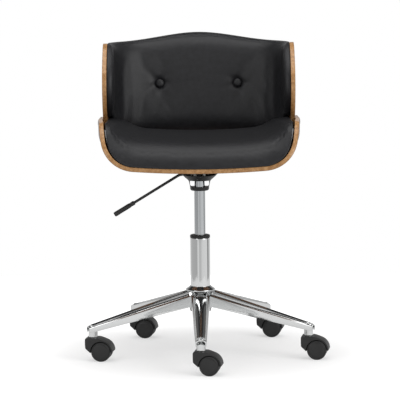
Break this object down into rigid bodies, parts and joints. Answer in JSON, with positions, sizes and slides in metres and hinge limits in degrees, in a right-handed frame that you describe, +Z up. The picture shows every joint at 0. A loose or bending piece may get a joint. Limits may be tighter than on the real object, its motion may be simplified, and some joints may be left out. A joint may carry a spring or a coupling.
{
  "type": "swivel office chair",
  "caption": "Armless swivel office chair: bent-plywood seat and back shells with black padded upholstery on a gas-lift column and chromed star base with twin-wheel casters.",
  "frame": {"origin": "on the floor, under the middle of the whole chair's box; the column's axis stands at x -17.3 mm and y +19.4 mm, because the casters trail to one side and the back reaches further than the seat's front", "axes": "+Z up, the sitter faces -Y, +X to the right of someone who looks at the chair from the front"},
  "size_m": [0.622, 0.5944, 0.812],
  "materials": {
    "chromed_steel": "bright chromed steel",
    "cylinder_chrome": "polished gas cylinder",
    "zinc_steel": "zinc-plated steel",
    "black_steel": "black powder coat on pressed steel",
    "black_plastic": "moulded black nylon, satin",
    "wheel_nylon": "moulded black nylon wheel, satin",
    "walnut_ply": "bent plywood with walnut face veneer, satin lacquer",
    "black_leather": "black leather-look upholstery, fine grain"
  },
  "bodies": {
    "base": {"base_hub": "chromed_steel", "base_arm_1": "chromed_steel", "base_arm_2": "chromed_steel", "base_arm_3": "chromed_steel", "base_arm_4": "chromed_steel", "base_arm_5": "chromed_steel", "column_outer_tube": "chromed_steel", "column_guide_bushing": "black_plastic", "thrust_bearing": "zinc_steel"},
    "column_rod": {"piston_rod": "zinc_steel", "retaining_clip": "zinc_steel"},
    "seat": {"gas_cylinder": "cylinder_chrome", "seat_mechanism": "black_steel", "tension_screw_left": "zinc_steel", "tension_screw_right": "zinc_steel", "seat_bolt_1": "zinc_steel", "seat_bolt_2": "zinc_steel", "seat_bolt_3": "zinc_steel", "seat_bolt_4": "zinc_steel", "lever_pivot_pin": "zinc_steel", "seat_shell": "walnut_ply", "back_shell": "walnut_ply", "shell_bolt_left_1": "zinc_steel", "shell_bolt_left_2": "zinc_steel", "shell_bolt_right_1": "zinc_steel", "shell_bolt_right_2": "zinc_steel", "seat_cushion": "black_leather", "back_cushion": "black_leather", "back_button_left": "black_leather", "back_button_right": "black_leather"},
    "lever": {"lever_rod": "black_steel", "lever_grip": "black_plastic"},
    "valve": {"valve_pin": "zinc_steel"},
    "caster_1": {"caster_1_stem": "zinc_steel", "caster_1_hood": "black_plastic", "caster_1_axle": "zinc_steel"},
    "wheel_1_left": {"caster_1_wheel_left": "wheel_nylon"},
    "wheel_1_right": {"caster_1_wheel_right": "wheel_nylon"},
    "caster_2": {"caster_2_stem": "zinc_steel", "caster_2_hood": "black_plastic", "caster_2_axle": "zinc_steel"},
    "wheel_2_left": {"caster_2_wheel_left": "wheel_nylon"},
    "wheel_2_right": {"caster_2_wheel_right": "wheel_nylon"},
    "caster_3": {"caster_3_stem": "zinc_steel", "caster_3_hood": "black_plastic", "caster_3_axle": "zinc_steel"},
    "wheel_3_left": {"caster_3_wheel_left": "wheel_nylon"},
    "wheel_3_right": {"caster_3_wheel_right": "wheel_nylon"},
    "caster_4": {"caster_4_stem": "zinc_steel", "caster_4_hood": "black_plastic", "caster_4_axle": "zinc_steel"},
    "wheel_4_left": {"caster_4_wheel_left": "wheel_nylon"},
    "wheel_4_right": {"caster_4_wheel_right": "wheel_nylon"},
    "caster_5": {"caster_5_stem": "zinc_steel", "caster_5_hood": "black_plastic", "caster_5_axle": "zinc_steel"},
    "wheel_5_left": {"caster_5_wheel_left": "wheel_nylon"},
    "wheel_5_right": {"caster_5_wheel_right": "wheel_nylon"}
  },
  "joints": [
    {"name": "seat_swivel", "type": "hinge", "parent": "base", "child": "column_rod", "pos_m": [-0.01733, 0.01942, 0.12], "axis": [0, 0, 1], "continuous": true},
    {"name": "height_adjust", "type": "slide", "parent": "column_rod", "child": "seat", "axis": [0, 0, 1], "range_m": [-0.1, 0]},
    {"name": "height_lever", "type": "hinge", "parent": "seat", "child": "lever", "pos_m": [-0.03733, 0.01942, 0.4625], "axis": [0, 1, 0], "range_deg": [0, 6]},
    {"name": "valve_travel", "type": "slide", "parent": "seat", "child": "valve", "axis": [0, 0, -1], "range_m": [0, 0.0021], "stiffness_N_per_m": 1500},
    {"name": "caster_1_swivel", "type": "hinge", "parent": "base", "child": "caster_1", "pos_m": [-0.01733, -0.26758, 0.06], "axis": [0, 0, 1], "continuous": true},
    {"name": "wheel_1_left_spin", "type": "hinge", "parent": "caster_1", "child": "wheel_1_left", "pos_m": [0.00489, -0.2711, 0.025], "axis": [0.1564, 0.9877, 0], "continuous": true},
    {"name": "wheel_1_right_spin", "type": "hinge", "parent": "caster_1", "child": "wheel_1_right", "pos_m": [0.00489, -0.2711, 0.025], "axis": [0.1564, 0.9877, 0], "continuous": true},
    {"name": "caster_2_swivel", "type": "hinge", "parent": "base", "child": "caster_2", "pos_m": [0.25562, -0.06926, 0.06], "axis": [0, 0, 1], "continuous": true},
    {"name": "wheel_2_left_spin", "type": "hinge", "parent": "caster_2", "child": "wheel_2_left", "pos_m": [0.27784, -0.07278, 0.025], "axis": [0.1564, 0.9877, 0], "continuous": true},
    {"name": "wheel_2_right_spin", "type": "hinge", "parent": "caster_2", "child": "wheel_2_right", "pos_m": [0.27784, -0.07278, 0.025], "axis": [0.1564, 0.9877, 0], "continuous": true},
    {"name": "caster_3_swivel", "type": "hinge", "parent": "base", "child": "caster_3", "pos_m": [0.15136, 0.25161, 0.06], "axis": [0, 0, 1], "continuous": true},
    {"name": "wheel_3_left_spin", "type": "hinge", "parent": "caster_3", "child": "wheel_3_left", "pos_m": [0.17358, 0.24809, 0.025], "axis": [0.1564, 0.9877, 0], "continuous": true},
    {"name": "wheel_3_right_spin", "type": "hinge", "parent": "caster_3", "child": "wheel_3_right", "pos_m": [0.17358, 0.24809, 0.025], "axis": [0.1564, 0.9877, 0], "continuous": true},
    {"name": "caster_4_swivel", "type": "hinge", "parent": "base", "child": "caster_4", "pos_m": [-0.18603, 0.25161, 0.06], "axis": [0, 0, 1], "continuous": true},
    {"name": "wheel_4_left_spin", "type": "hinge", "parent": "caster_4", "child": "wheel_4_left", "pos_m": [-0.16381, 0.24809, 0.025], "axis": [0.1564, 0.9877, 0], "continuous": true},
    {"name": "wheel_4_right_spin", "type": "hinge", "parent": "caster_4", "child": "wheel_4_right", "pos_m": [-0.16381, 0.24809, 0.025], "axis": [0.1564, 0.9877, 0], "continuous": true},
    {"name": "caster_5_swivel", "type": "hinge", "parent": "base", "child": "caster_5", "pos_m": [-0.29029, -0.06926, 0.06], "axis": [0, 0, 1], "continuous": true},
    {"name": "wheel_5_left_spin", "type": "hinge", "parent": "caster_5", "child": "wheel_5_left", "pos_m": [-0.26806, -0.07278, 0.025], "axis": [0.1564, 0.9877, 0], "continuous": true},
    {"name": "wheel_5_right_spin", "type": "hinge", "parent": "caster_5", "child": "wheel_5_right", "pos_m": [-0.26806, -0.07278, 0.025], "axis": [0.1564, 0.9877, 0], "continuous": true}
  ],
  "couplings": [
    {"joint": "valve_travel", "follows": "height_lever", "m_per_rad": 0.02}
  ]
}
